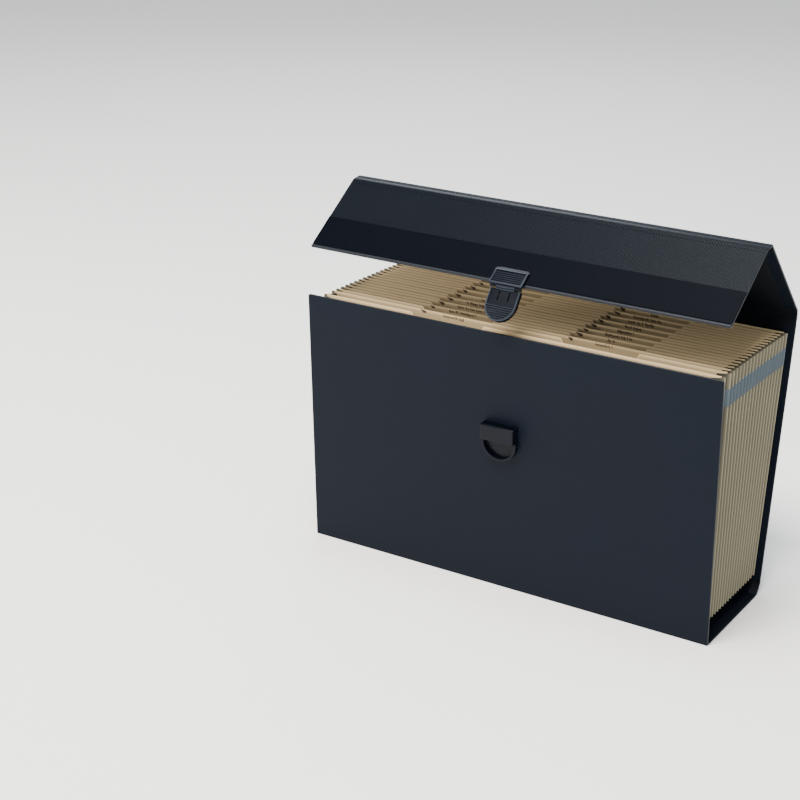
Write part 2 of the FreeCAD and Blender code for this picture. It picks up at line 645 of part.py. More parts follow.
def side_gusset(side):
    return pleated_wall(side, GUSSET_BOTTOM, GUSSET_TOP, 0.0, -GUSSET_SLANT_WALL)


def gusset_tape(side):
    """Cloth tape that follows the pleats' outside near the top."""
    return pleated_wall(side, TAPE_BAND[0], TAPE_BAND[1], 0.75, 0.1)


def bottom_gusset():
    """Pleated floor of the pockets, with its lower folds under the leaves."""
    line = []
    for index in range(1, LEAF_COUNT + 1):
        y = leaf_y_at(index, GUSSET_BOTTOM)
        if index > 1:
            line.append(((line[-1][0] + y) / 2, GUSSET_BOTTOM + BOTTOM_PLEAT_RISE))
        line.append((y, GUSSET_BOTTOM))
    reach = GUSSET_VALLEY - GUSSET_SLANT_WALL - 0.8
    outline = [(-reach, y, z) for y, z in line] + [(-reach, y, z + 1.0) for y, z in reversed(line)]
    return prism(outline, (2 * reach, 0, 0))


# ---- every node, with the body that carries it ------------------------------------------------------
def nodes():
    """Name, body and shape of each piece."""
    made = [
        ("bottom_panel", "base", bottom_panel()),
        ("rear_foot_strip", "base", board(REAR_FOOT, BACK_FOOT)),
        ("front_panel", "front", front_panel()),
        ("latch_keeper", "front", keeper()),
        ("keeper_backing_plate", "front", keeper_backing_plate()),
        ("keeper_rivets", "front", keeper_rivets()),
        ("back_panel", "back", back_panel()),
        ("lid_rear_spine", "rear_spine", board(BACK_TOP, LID_REAR)),
        ("lid_panel", "lid", lid_panel()),
        ("lid_backing_plate", "lid", lid_backing_plate()),
        ("handle_base_plate", "lid", handle_base_plate()),
        ("handle_rivets", "lid", handle_rivets()),
        ("handle_pivot_pins", "lid", handle_pins()),
        ("carry_handle", "handle", handle_grip()),
        ("lid_front_spine", "front_spine", board(LID_FRONT, FLAP_TOP)),
        ("flap_panel", "flap", flap_panel()),
        ("flap_lip_band", "flap", flap_lip_band()),
        ("latch_plate", "flap", latch_plate()),
        ("latch_backing_plate", "flap", latch_backing_plate()),
        ("latch_rivets", "flap", latch_rivets()),
        ("latch_hinge_pin", "flap", latch_pin()),
        ("latch_tongue", "tongue", latch_tongue()),
    ]
    for index in range(1, LEAF_COUNT + 1):
        made.append((f"pocket_leaf_{index:02d}", leaf_body(index), leaf(index)))
    return made


def fitted_nodes():
    """Pieces drawn straight in the resting pose, because they run from leaf to leaf."""
    return [
        ("gusset_left", "base", side_gusset(-1)),
        ("gusset_right", "base", side_gusset(1)),
        ("gusset_bottom", "base", bottom_gusset()),
        ("gusset_tape_left", "base", gusset_tape(-1)),
        ("gusset_tape_right", "base", gusset_tape(1)),
    ]


def main():
    os.makedirs("parts", exist_ok=True)
    placed = [(name, body, at_rest(shape, body)) for name, body, shape in nodes()]
    bodies = {}
    for name, body, shape in placed + fitted_nodes():
        bodies.setdefault(body, []).append(name)
        shape.exportStep(f"parts/{name}.step")
        if not shape.isValid():
            print("not valid:", name)
    return bodies


BODIES = main()
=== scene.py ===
import json
import math
import random

import bmesh
import bpy
from mathutils import Matrix, Vector


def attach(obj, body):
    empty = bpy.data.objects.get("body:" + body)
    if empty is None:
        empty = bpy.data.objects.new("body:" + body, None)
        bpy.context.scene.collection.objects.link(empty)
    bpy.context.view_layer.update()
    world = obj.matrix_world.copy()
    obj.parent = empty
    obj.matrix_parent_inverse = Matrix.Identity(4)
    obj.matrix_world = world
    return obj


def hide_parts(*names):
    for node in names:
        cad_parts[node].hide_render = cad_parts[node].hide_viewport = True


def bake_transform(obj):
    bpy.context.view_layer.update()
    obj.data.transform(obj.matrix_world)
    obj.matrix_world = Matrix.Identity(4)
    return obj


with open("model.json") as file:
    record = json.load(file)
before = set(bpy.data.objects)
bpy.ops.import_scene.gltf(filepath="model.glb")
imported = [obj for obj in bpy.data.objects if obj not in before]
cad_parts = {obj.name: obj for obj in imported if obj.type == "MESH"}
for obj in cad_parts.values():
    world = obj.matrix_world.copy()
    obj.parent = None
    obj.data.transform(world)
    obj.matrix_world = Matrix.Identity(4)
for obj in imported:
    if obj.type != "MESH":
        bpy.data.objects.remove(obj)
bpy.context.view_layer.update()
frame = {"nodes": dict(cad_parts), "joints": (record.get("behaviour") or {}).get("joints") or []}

# Expanding file case. Metres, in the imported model's frame: X to the right, Y from the front cover
# to the back cover, Z up, with the origin in the middle of the base's underside.

MM = 0.001
AXIS = {joint["name"]: Vector(joint["pos_m"]) for joint in frame["joints"]}
RIGHT = Vector((1, 0, 0))

# ---- driving dimensions, as in the CAD source ------------------------------------------------------
WIDTH = 418 * MM
DEPTH = 124 * MM
BOARD = 2 * MM
HALF = BOARD / 2
CREASE_GAP = 0.3 * MM
FRONT_LENGTH = 253 * MM
FLAP_LENGTH = 87 * MM
LIP_BEAD = 1.6 * MM
PANEL_CORNER = 2.5 * MM
FRONT_TURN = 3.2
BACK_TURN = 6.8
LEAF_COUNT = 20
FIXED_LEAF = 3
LEAF_THICKNESS = 0.4 * MM
LEAF_HALF_WIDTH = 199.5 * MM
LEAF_BOTTOM = 20 * MM
LEAF_TOP = 250.5 * MM
WINDOW_BASE = 245.5 * MM
WINDOW_SLANT = 3.4 * MM
LEFT_WINDOW = (-106 * MM, -29 * MM)
RIGHT_WINDOW = (42 * MM, 119 * MM)
FIRST_LEAF_Y = 4.3 * MM
LAST_LEAF_Y = 120 * MM
PIVOT_HEIGHT = 17 * MM
GUSSET_TIP = 203 * MM
GUSSET_VALLEY = 193 * MM
GUSSET_BOTTOM = 17.5 * MM
GUSSET_TOP = 250 * MM
BOTTOM_PLEAT_RISE = 8 * MM
PLEAT_FOLD = 10 * MM
TAPE_BAND = (220 * MM, 236 * MM)
TONGUE_RECESS = 0.9 * MM
FRONT_FOOT = Vector((0, HALF - DEPTH / 2, HALF))
REAR_FOOT = Vector((0, DEPTH / 2 - 8 * MM, HALF))

# ---- sizes of the visual pieces ----------------------------------------------------------------------
RIM = 0.85 * MM                         # rounding of a board's rim
RIM_MARGIN = 0.25 * MM
CREASE_CORNER = 1.2 * MM
LINING_HEM = 11 * MM
LINING_THICKNESS = 0.25 * MM
SKIN_FACES = (0.02 * MM, 0.17 * MM)     # cloth over a crease, above the boards' faces
SKIN_REACH = 4.5 * MM
SKIN_CORNER = 1.6 * MM
SKIN_INSET = 0.6 * MM
BAND_START = 49 * MM
BAND_THICKNESS = 0.6 * MM
LATCH_NOTCH = 16.7 * MM                 # half of the width left free for the latch plate
LATCH_GAP = 0.2 * MM
CRIMP_PITCH = 0.55 * MM
CRIMP_DEPTH = 0.07 * MM
LABEL_DROP = 3.5 * MM                   # foot of a label below the leaf's top edge
MARK_LIFT = (-0.05 * MM, 0.04 * MM)
SHADOW_WEDGE_LIFT = (-0.05 * MM, 0.05 * MM)
PLEAT_WALL = 0.8 * MM
PLEAT_SOFTENING = 0.4 * MM              # rounding of the folds
PLEAT_BELLY = 0.6 * MM
FLOOR_WALL = 0.6 * MM
TAPE_WALL = 0.25 * MM
TAPE_LIFT = 0.3 * MM
WELD = 0.005 * MM
MOULDING_BEVEL = 0.45 * MM
HANDLE_BEVEL = 0.8 * MM
RIVET_BEVEL = 0.12 * MM
SHEET_BEVEL = 0.15 * MM
KNUCKLE_REACH = 6 * MM                  # round the tongue's hinge, left out of its raised face with the painted highlight


# ---- camera, floor and light -------------------------------------------------------------------------
CAMERA_PLACE = (0.7042, -1.3811, 0.7573)
CAMERA_TURNS = (31.81, 20.96, 0.94)     # azimuth, elevation and roll in degrees
CAMERA_LENS = 79.7
FLOOR_REACH = 9.0
LIGHTS = [                              # name, place, aim, size, watts, colour
    ("key", (0.0, -1.3, 2.65), (0, 0, 0.25), (1.6, 1.1), 200, (1, 0.95, 0.88)),
    ("left", (-2.1, -0.8, 0.85), (-0.1, 0, 0.25), (0.7, 0.7), 36, (1, 0.93, 0.84)),
    ("rim", (-1.3, 2.0, 1.65), (0, 0, 0.3), (0.9, 0.9), 14, (0.88, 0.96, 1)),
    ("top", (-0.2, 0.15, 2.3), (0.1, 0, 0.3), (0.5, 0.6), 24, (0.93, 0.98, 1)),
]


def make_camera():
    data = bpy.data.cameras.new("camera")
    data.sensor_width = 36
    data.lens = CAMERA_LENS
    data.clip_start, data.clip_end = 0.05, 50
    camera = bpy.data.objects.new("camera", data)
    bpy.context.scene.collection.objects.link(camera)
    azimuth, elevation, roll = (math.radians(a) for a in CAMERA_TURNS)
    turn = Matrix.Rotation(azimuth, 4, "Z") @ Matrix.Rotation(math.pi / 2 - elevation, 4, "X")
    turn = turn @ Matrix.Rotation(roll, 4, "Z")
    camera.matrix_world = Matrix.Translation(CAMERA_PLACE) @ turn
    bpy.context.scene.camera = camera


def area_light(name, location, target, size, power, colour):
    data = bpy.data.lights.new(name, "AREA")
    data.shape = "RECTANGLE"
    data.size, data.size_y = size
    data.energy = power
    data.color = colour
    light = bpy.data.objects.new(name, data)
    bpy.context.scene.collection.objects.link(light)
    light.location = location
    light.rotation_euler = (Vector(target) - Vector(location)).to_track_quat("-Z", "Y").to_euler()


def make_light():
    world = bpy.data.worlds.new("studio")
    bpy.context.scene.world = world
    world.use_nodes = True
    background = world.node_tree.nodes["Background"]
    background.inputs["Color"].default_value = (0.95, 0.99, 1.0, 1)
    background.inputs["Strength"].default_value = 0.75
    for light in LIGHTS:
        area_light(*light)


def make_floor():
    mesh = bpy.data.meshes.new("floor")
    corners = [(x * FLOOR_REACH, y * FLOOR_REACH, 0) for x, y in ((-1, -1), (1, -1), (1, 1), (-1, 1))]
    mesh.from_pydata(corners, [], [(0, 1, 2, 3)])
    floor = bpy.data.objects.new("floor", mesh)
    bpy.context.scene.collection.objects.link(floor)
    material = bpy.data.materials.new("floor")
    material.use_nodes = True
    shader = material.node_tree.nodes["Principled BSDF"]
    shader.inputs["Base Color"].default_value = (0.9, 0.9, 0.905, 1)
    shader.inputs["Roughness"].default_value = 0.8
    shader.inputs["Specular IOR Level"].default_value = 0.1
    mesh.materials.append(material)


# ---- material building -----------------------------------------------------------------------------
class Nodes:
    """Short calls for one material's node tree."""

    def __init__(self, name):
        self.material = bpy.data.materials.new(name)
        self.material.use_nodes = True
        self.tree = self.material.node_tree
        self.shader = self.tree.nodes["Principled BSDF"]

    def node(self, kind, **settings):
        made = self.tree.nodes.new("ShaderNode" + kind)
        for key, value in settings.items():
            setattr(made, key, value)
        return made

    def link(self, source, target):
        self.tree.links.new(source, target)

    def feed(self, target, value):
        if isinstance(value, bpy.types.NodeSocket):
            self.link(value, target)
        else:
            target.default_value = value

    def math(self, operation, a, b=0.0):
        made = self.node("Math", operation=operation)
        self.feed(made.inputs[0], a)
        self.feed(made.inputs[1], b)
        return made.outputs[0]

    def place(self, scale=(1, 1, 1), uv=False):
        """Object coordinates, or the piece's own flat coordinates, scaled."""
        if uv:
            source = self.node("UVMap", uv_map="flat").outputs["UV"]
        else:
            source = self.node("TexCoord").outputs["Object"]
        mapping = self.node("Mapping")
        mapping.inputs["Scale"].default_value = scale
        self.link(source, mapping.inputs["Vector"])
        return mapping.outputs["Vector"]

    def flat_part(self, which):
        """One of the piece's own flat coordinates."""
        split = self.node("SeparateXYZ")
        self.link(self.place(uv=True), split.inputs[0])
        return split.outputs[which]

    def noise(self, vector, scale, detail=3.0, roughness=0.5):
        made = self.node("TexNoise")
        self.link(vector, made.inputs["Vector"])
        made.inputs["Scale"].default_value = scale
        made.inputs["Detail"].default_value = detail
        made.inputs["Roughness"].default_value = roughness
        return made.outputs["Fac"]

    def cells(self, vector, scale, feature="F1"):
        made = self.node("TexVoronoi", feature=feature)
        self.link(vector, made.inputs["Vector"])
        made.inputs["Scale"].default_value = scale
        return made.outputs["Distance"]

    def ramp(self, value, stops):
        """Colours, or greys where a stop is a number, over a value from 0 to 1."""
        made = self.node("ValToRGB")
        self.link(value, made.inputs["Fac"])
        elements = made.color_ramp.elements
        while len(elements) < len(stops):
            elements.new(0.5)
        for element, (position, colour) in zip(elements, stops):
            element.position = position
            element.color = (colour,) * 3 + (1,) if isinstance(colour, float) else tuple(colour) + (1,)
        return made.outputs["Color"]

    def mix(self, factor, a, b, mode="MIX"):
        made = self.node("Mix", data_type="RGBA", blend_type=mode)
        self.feed(made.inputs["Factor"], factor)
        self.feed(made.inputs[6], a if isinstance(a, bpy.types.NodeSocket) else tuple(a) + (1,))
        self.feed(made.inputs[7], b if isinstance(b, bpy.types.NodeSocket) else tuple(b) + (1,))
        return made.outputs[2]

    def bump(self, layers):
        """Stacked bumps: (height, strength, distance in metres) from coarse to fine."""
        normal = None
        for height, strength, distance in layers:
            made = self.node("Bump")
            made.inputs["Strength"].default_value = strength
            made.inputs["Distance"].default_value = distance
            self.link(height, made.inputs["Height"])
            if normal is not None:
                self.link(normal, made.inputs["Normal"])
            normal = made.outputs["Normal"]
        self.link(normal, self.shader.inputs["Normal"])

    def set(self, **values):
        names = {"colour": "Base Color", "roughness": "Roughness", "metallic": "Metallic",
                 "specular": "Specular IOR Level", "sheen": "Sheen Weight"}
        for key, value in values.items():
            socket = self.shader.inputs[names[key]]
            if key == "colour" and not isinstance(value, bpy.types.NodeSocket):
                value = tuple(value) + (1,)
            self.feed(socket, value)
        return self.material


def leatherette():
    """Black vinyl-coated cover cloth with a fine pebbled grain."""
    n = Nodes("leatherette")
    where = n.place()
    grain = n.cells(where, 1500)
    fine = n.noise(where, 4200, 2)
    cloud = n.noise(where, 9, 4)
    dust = n.noise(where, 900, 5, 0.7)
    colour = n.mix(cloud, (0.0019, 0.0037, 0.0082), (0.0036, 0.0060, 0.0118))
    speck = n.ramp(dust, [(0.62, 0.0), (0.78, 1.0)])
    colour = n.mix(n.math("MULTIPLY", speck, 0.2), colour, (0.03, 0.038, 0.05))
    n.bump([(cloud, 0.12, 1.2 * MM), (grain, 0.35, 0.05 * MM), (fine, 0.25, 0.02 * MM)])
    rough = n.ramp(cloud, [(0.3, 0.5), (0.7, 0.6)])
    return n.set(colour=colour, roughness=rough, specular=0.09)


def woven_leatherette():
    """The same cover cloth where it is embossed with a fine crossed diagonal rib."""
    n = Nodes("woven_leatherette")
    u, v = n.flat_part(0), n.flat_part(1)
    pitch = 2.9 * MM
    turns = 2 * math.pi / pitch
    rising = n.math("SINE", n.math("MULTIPLY", n.math("ADD", u, v), turns))
    falling = n.math("SINE", n.math("MULTIPLY", n.math("SUBTRACT", u, v), turns))
    crossed = n.math("ADD", rising, n.math("MULTIPLY", falling, 0.6))
    height = n.math("ADD", n.math("MULTIPLY", crossed, 0.31), 0.5)
    cloud = n.noise(n.place(), 14, 4)
    # Grooves near black and crests lighter: painted shade in the grooves and a painted highlight on the
    # crests.
    low = n.mix(cloud, (0.0003, 0.0005, 0.001), (0.0005, 0.0008, 0.0015))
    high = n.mix(cloud, (0.0042, 0.0072, 0.0128), (0.0072, 0.011, 0.0175))
    colour = n.mix(n.ramp(height, [(0.3, 0.0), (0.85, 1.0)]), low, high)
    n.bump([(height, 0.45, 0.25 * MM), (n.noise(n.place(), 4200, 2), 0.2, 0.02 * MM)])
    return n.set(colour=colour, roughness=0.34, specular=0.065)


def smooth_band():
    """Smooth calendered vinyl band."""
    n = Nodes("smooth_band")
    where = n.place()
    cloud = n.noise(where, 11, 4)
    scuff = n.noise(n.place((1, 6, 6)), 160, 5, 0.7)
    colour = n.mix(cloud, (0.0006, 0.0011, 0.0030), (0.0011, 0.0018, 0.0042))
    colour = n.mix(n.ramp(scuff, [(0.6, 0.0), (0.8, 0.25)]), colour, (0.016, 0.02, 0.03))
    n.bump([(cloud, 0.1, 0.8 * MM), (n.noise(where, 3000, 3), 0.15, 0.02 * MM)])
    return n.set(colour=colour, roughness=n.ramp(scuff, [(0.3, 0.38), (0.7, 0.5)]), specular=0.03)


def edge_vinyl():
    """Vinyl where the cover cloth turns round the boards' edges, coloured slightly greyer as a painted
    highlight.
    """
    n = Nodes("edge_vinyl")
    highlight_noise = n.noise(n.place((1, 2, 2)), 260, 5, 0.7)
    colour = n.mix(highlight_noise, (0.004, 0.0055, 0.0085), (0.013, 0.016, 0.022))
    n.bump([(highlight_noise, 0.25, 0.06 * MM)])
    return n.set(colour=colour, roughness=n.ramp(highlight_noise, [(0.3, 0.36), (0.7, 0.48)]), specular=0.2)


def lining():
    """Matt black lining paper with a fine tooth."""
    n = Nodes("lining")
    where = n.place()
    fibre = n.noise(n.place((1, 3, 3)), 700, 5, 0.6)
    colour = n.mix(fibre, (0.0022, 0.003, 0.0045), (0.006, 0.0075, 0.01))
    n.bump([(fibre, 0.3, 0.06 * MM), (n.noise(where, 60, 3), 0.1, 0.5 * MM)])
    return n.set(colour=colour, roughness=0.72, specular=0.08)


def moulded(name="moulded_black", raised=None):
    """Satin black injection moulding, with a painted highlight that makes a raised face paler than the recess
    round it. The raised face is given by its normal, its height along that normal and the depth of the recess
    round it."""
    n = Nodes(name)
    where = n.place()
    spark = n.noise(where, 2600, 2)
    flow = n.noise(where, 45, 3)
    colour = n.mix(flow, (0.0016, 0.0024, 0.0052), (0.0032, 0.0046, 0.0084))
    if raised:
        normal, top, depth = raised
        along = n.node("VectorMath", operation="DOT_PRODUCT")
        along.inputs[1].default_value = normal
        n.link(where, along.inputs[0])
        height = n.math("DIVIDE", n.math("SUBTRACT", along.outputs["Value"], top - depth), depth)
        # Painted highlight: the raised face is paler than the recess round it.
        raised_highlight = n.mix(n.noise(where, 300, 4, 0.7), (0.009, 0.012, 0.019), (0.03, 0.037, 0.049))
        colour = n.mix(n.ramp(height, [(0.15, 0.0), (0.9, 1.0)]), colour, raised_highlight)
    n.bump([(flow, 0.06, 0.3 * MM), (spark, 0.2, 0.02 * MM)])
    return n.set(colour=colour, roughness=n.ramp(flow, [(0.3, 0.24), (0.7, 0.32)]), specular=0.11)


def moulding_edge_highlight():
    """The moulding's bevelled edges, lightened as a painted highlight."""
    n = Nodes("black_edge_highlight")
    highlight_noise = n.noise(n.place(), 420, 4, 0.7)
    colour = n.mix(highlight_noise, (0.014, 0.0185, 0.027), (0.045, 0.055, 0.072))
    n.bump([(highlight_noise, 0.15, 0.03 * MM)])
    return n.set(colour=colour, roughness=n.ramp(highlight_noise, [(0.3, 0.22), (0.7, 0.36)]), specular=0.5)


def plated():
    """Bright plated steel, slightly brushed."""
    n = Nodes("rivet_steel")
    brushed = n.noise(n.place((1, 14, 1)), 900, 3)
    colour = n.mix(brushed, (0.55, 0.56, 0.58), (0.78, 0.79, 0.8))
    n.bump([(brushed, 0.15, 0.02 * MM)])
    return n.set(colour=colour, roughness=n.ramp(brushed, [(0.3, 0.2), (0.7, 0.36)]), metallic=1.0)


def painted_steel():
    """Black painted sheet with a little orange peel."""
    n = Nodes("backing_steel")
    peel = n.noise(n.place(), 900, 2)
    colour = n.mix(peel, (0.016, 0.017, 0.02), (0.026, 0.027, 0.03))
    n.bump([(peel, 0.2, 0.04 * MM)])
    return n.set(colour=colour, roughness=n.ramp(peel, [(0.3, 0.38), (0.7, 0.5)]), metallic=0.3)


def manila():
    """Uncoated manila card: warm, with fibre flecks, and darkened by painted shade away from its top edge,
    where the gaps between leaves lie.
    """
    n = Nodes("manila")
    where = n.place()
    fibre = n.noise(n.place((1, 5, 5)), 240, 6, 0.7)
    tone = n.noise(where, 7, 3)
    fleck = n.noise(n.place((1, 1, 2.5)), 650, 4, 0.6)
    colour = n.mix(tone, (0.74, 0.565, 0.325), (0.82, 0.63, 0.37))
    colour = n.mix(n.ramp(fibre, [(0.35, 0.0), (0.75, 0.3)]), colour, (0.88, 0.70, 0.45))
    colour = n.mix(n.ramp(fleck, [(0.66, 0.0), (0.78, 0.45)]), colour, (0.36, 0.26, 0.14))
    # Painted shade: the card darkens below its top edge, as in the shaded gaps between leaves.
    gap_shade_reach = 20 * MM
    below = n.math("ADD", n.math("DIVIDE", n.flat_part(1), gap_shade_reach), 1.0)
    gap_shade = n.ramp(below, [(0.0, 0.3), (0.6, 0.54), (0.87, 0.6), (0.945, 1.0)])
    colour = n.mix(1.0, colour, gap_shade, "MULTIPLY")
    n.bump([(tone, 0.1, 1.0 * MM), (fibre, 0.35, 0.05 * MM)])
    return n.set(colour=colour, roughness=0.82, specular=0.2)


def gusset_paper():
    """Tougher, greyer manila of the pleats, with painted shade darkening it from the outer folds into the
    inner ones.
    """
    n = Nodes("gusset_paper")
    fibre = n.noise(n.place((4, 4, 1)), 260, 6, 0.7)
    tone = n.noise(n.place(), 12, 3)
    colour = n.mix(tone, (0.27, 0.245, 0.17), (0.325, 0.295, 0.21))
    colour = n.mix(n.ramp(fibre, [(0.35, 0.0), (0.75, 0.35)]), colour, (0.43, 0.40, 0.31))
    inwards = n.math("DIVIDE", n.flat_part(0), PLEAT_FOLD)
    # Painted shade: darker the further in from the outer folds.
    fold_shade = n.ramp(inwards, [(0.02, 1.0), (0.07, 0.52), (0.3, 0.22), (0.95, 0.05)])
    colour = n.mix(1.0, colour, fold_shade, "MULTIPLY")
    n.bump([(fibre, 0.4, 0.06 * MM)])
    return n.set(colour=colour, roughness=0.85, specular=0.15)


def tape_cloth():
    """Blue-grey woven binding tape."""
    n = Nodes("gusset_tape")
    where = n.place()
    split = n.node("SeparateXYZ")
    n.link(where, split.inputs[0])
    pitch = 0.7 * MM
    turns = 2 * math.pi / pitch
    warp = n.math("SINE", n.math("MULTIPLY", n.math("ADD", split.outputs[0], split.outputs[1]), turns))
    weft = n.math("SINE", n.math("MULTIPLY", split.outputs[2], turns))
    weave = n.math("ADD", n.math("MULTIPLY", n.math("MULTIPLY", warp, weft), 0.5), 0.5)
    tone = n.noise(where, 60, 3)
    colour = n.mix(weave, (0.052, 0.08, 0.102), (0.105, 0.14, 0.165))
    colour = n.mix(n.math("MULTIPLY", tone, 0.3), colour, (0.17, 0.19, 0.2))
    # Painted shade: the tape darkens from the outer folds into the inner ones.
    inwards = n.math("DIVIDE", n.flat_part(0), PLEAT_FOLD)
    fold_shade = n.ramp(inwards, [(0.0, 1.0), (0.2, 0.8), (0.5, 0.45), (0.95, 0.15)])
    colour = n.mix(1.0, colour, fold_shade, "MULTIPLY")
    n.bump([(weave, 0.5, 0.1 * MM)])
    return n.set(colour=colour, roughness=0.8, specular=0.2, sheen=0.15)


def ink_and_shadow():
    # Ink of the label strokes, also used for the dark wedges that are painted shadow.
    n = Nodes("index_ink_and_shadow")
    soak = n.noise(n.place(), 1800, 4, 0.7)
    colour = n.mix(soak, (0.06, 0.04, 0.028), (0.13, 0.09, 0.06))
    return n.set(colour=colour, roughness=0.8, specular=0.2)


# ---- mesh helpers ------------------------------------------------------------------------------------
def piece(name, vertices, faces, material, flat=None, angle=35.0):
    """An object from points and faces, with smooth shading up to an angle and, where flat
    coordinates are given for each point, a map of them for woven surfaces."""
    mesh = bpy.data.meshes.new(name)
    mesh.from_pydata([tuple(v) for v in vertices], [], faces)
    work = bmesh.new()
    work.from_mesh(mesh)
    bmesh.ops.recalc_face_normals(work, faces=work.faces)
    work.to_mesh(mesh)
    work.free()
    if flat is not None:
        layer = mesh.uv_layers.new(name="flat")
        for loop in mesh.loops:
            layer.data[loop.index].uv = flat[loop.vertex_index]
    mesh.shade_smooth()
    mesh.set_sharp_from_angle(angle=math.radians(angle))
    mesh.materials.append(material)
    made = bpy.data.objects.new(name, mesh)
    bpy.context.scene.collection.objects.link(made)
    return made


def turned(point, centre, degrees):
    """A point turned about an X-parallel axis."""
    return Matrix.Rotation(math.radians(degrees), 3, "X") @ (point - centre) + centre


class Plane:
    """A board's own directions: x across, s along it from its crease, n through it."""

    def __init__(self, start, along):
        self.start = start
        self.along = along.normalized()
        self.normal = Vector((0, -self.along.z, self.along.y))

    def at(self, x, s, n):
        return self.start + x * RIGHT + s * self.along + n * self.normal


def rounded_outline(x, s, radii, steps=5):
    """Rounded rectangle between x[0]..x[1] and s[0]..s[1], with the radii at low and high s."""
    points = []
    corners = [(x[1], s[0], -90, radii[0]), (x[1], s[1], 0, radii[1]),
               (x[0], s[1], 90, radii[1]), (x[0], s[0], 180, radii[0])]
    for cx, cs, start, radius in corners:
        mx = cx - math.copysign(radius, cx - (x[0] + x[1]) / 2)
        ms = cs - math.copysign(radius, cs - (s[0] + s[1]) / 2)
        for k in range(steps + 1):
            a = math.radians(start + 90 * k / steps)
            points.append((mx + radius * math.cos(a), ms + radius * math.sin(a)))
    return points


def inset_outline(points, distance):
    """The outline moved inwards by a small distance, point by point."""
    made = []
    count = len(points)
    for k in range(count):
        before, here, after = Vector(points[k - 1]), Vector(points[k]), Vector(points[(k + 1) % count])
        a, b = (here - before), (after - here)
        if a.length < 1e-9 or b.length < 1e-9:
            made.append(points[k])
            continue
        a.normalize()
        b.normalize()
        na, nb = Vector((-a.y, a.x)), Vector((-b.y, b.x))
        middle = (na + nb).normalized()
        step = distance / max(0.35, middle.dot(na))
        made.append((here.x + middle.x * step, here.y + middle.y * step))
    return made


def slab(name, plane, outline, low, high, radius, material, steps=4, margin=0.6 * MM, edge=None):
    """A flat piece with its rims rounded, from an anticlockwise outline in (x, s). Its rims may have a second
    material, which paints a highlight on them."""
    rings = []
    for k in range(steps + 1):
        a = math.radians(90 * k / steps)
        rings.append((radius * (1 - math.sin(a)), low + radius * (1 - math.cos(a))))
    rings += [(inset, low + high - n) for inset, n in reversed(rings)]
    inner = radius + margin
    rings = [(inner, low)] + rings + [(inner, high)]
    count = len(outline)
    vertices, flat, faces = [], [], []
    for inset, n in rings:
        for x, s in inset_outline(outline, inset):
            vertices.append(plane.at(x, s, n))
            flat.append((x, s))
    for r in range(len(rings) - 1):
        for k in range(count):
            j = (k + 1) % count
            faces.append((r * count + k, r * count + j, (r + 1) * count + j, (r + 1) * count + k))
    faces.append(tuple(range(count)))
    faces.append(tuple(range((len(rings) - 1) * count, len(rings) * count)))
    made = piece(name, vertices, faces, material, flat)
    if edge:
        made.data.materials.append(edge)
        rim = range(2 * count, (len(rings) - 3) * count)
        for k in rim:
            made.data.polygons[k].material_index = 1
    return made


def strip(name, profile, x, material):
    """A closed profile of (y, z) points swept along X."""
    count = len(profile)
    runs = [0.0]
    for k in range(1, count):
        runs.append(runs[-1] + (Vector(profile[k]) - Vector(profile[k - 1])).length)
    vertices = [(px, y, z) for px in x for y, z in profile]
    flat = [(px, run) for px in x for run in runs]
    faces = [(k, (k + 1) % count, count + (k + 1) % count, count + k) for k in range(count)]
    faces.append(tuple(range(count)))
    faces.append(tuple(range(count, 2 * count)))
    return piece(name, vertices, faces, material, flat, angle=50)


def add(made, body, slot, *nodes):
    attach(made, body)
    if nodes:
        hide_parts(*nodes)
    return made


# ---- materials ---------------------------------------------------------------------------------------
LEATHER = leatherette()
WOVEN = woven_leatherette()
BAND = smooth_band()
LINING = lining()
EDGE = edge_vinyl()
MOULDED = moulded()
MOULDING_EDGE_HIGHLIGHT = moulding_edge_highlight()
PLATED = plated()
PAINTED = painted_steel()
MANILA = manila()
GUSSET = gusset_paper()
TAPE = tape_cloth()
INK_AND_SHADOW = ink_and_shadow()

# ---- planes of the boards ---------------------------------------------------------------------------------
UP = Vector((0, 0, 1))
front_along = Matrix.Rotation(math.radians(FRONT_TURN), 3, "X") @ UP
PLANES = {
    "front": Plane(AXIS["front_fold"], front_along),
    "rear_foot": Plane(REAR_FOOT, AXIS["back_fold"] - REAR_FOOT),
    "back": Plane(AXIS["back_fold"], AXIS["lid_rear_crease"] - AXIS["back_fold"]),
    "rear_spine": Plane(AXIS["lid_rear_crease"], AXIS["lid_crease"] - AXIS["lid_rear_crease"]),
    "lid": Plane(AXIS["lid_crease"], AXIS["flap_upper_crease"] - AXIS["lid_crease"]),
    "front_spine": Plane(AXIS["flap_upper_crease"], AXIS["flap_crease"] - AXIS["flap_upper_crease"]),
    "flap": Plane(AXIS["flap_crease"], AXIS["tongue_hinge"] - AXIS["flap_crease"]),
}
LENGTHS = {
    "front": FRONT_LENGTH,
    "rear_foot": (AXIS["back_fold"] - REAR_FOOT).length,
    "back": (AXIS["lid_rear_crease"] - AXIS["back_fold"]).length,
    "rear_spine": (AXIS["lid_crease"] - AXIS["lid_rear_crease"]).length,
    "lid": (AXIS["flap_upper_crease"] - AXIS["lid_crease"]).length,
    "front_spine": (AXIS["flap_crease"] - AXIS["flap_upper_crease"]).length,
    "flap": FLAP_LENGTH,
}


# ---- cover boards ----------------------------------------------------------------------------------------
def cover_board(name, key, body, node, material, free=False):
    half = WIDTH / 2
    low = -HALF
    high = LENGTHS[key] + (0 if free else -HALF - CREASE_GAP)
    radii = (CREASE_CORNER, PANEL_CORNER if free else CREASE_CORNER)
    outline = rounded_outline((-half, half), (low, high), radii)
    rim = None if body == "base" else EDGE
    made = slab(name, PLANES[key], outline, -HALF, HALF, RIM, material, margin=RIM_MARGIN, edge=rim)
    return add(made, body, "cover_board", node)


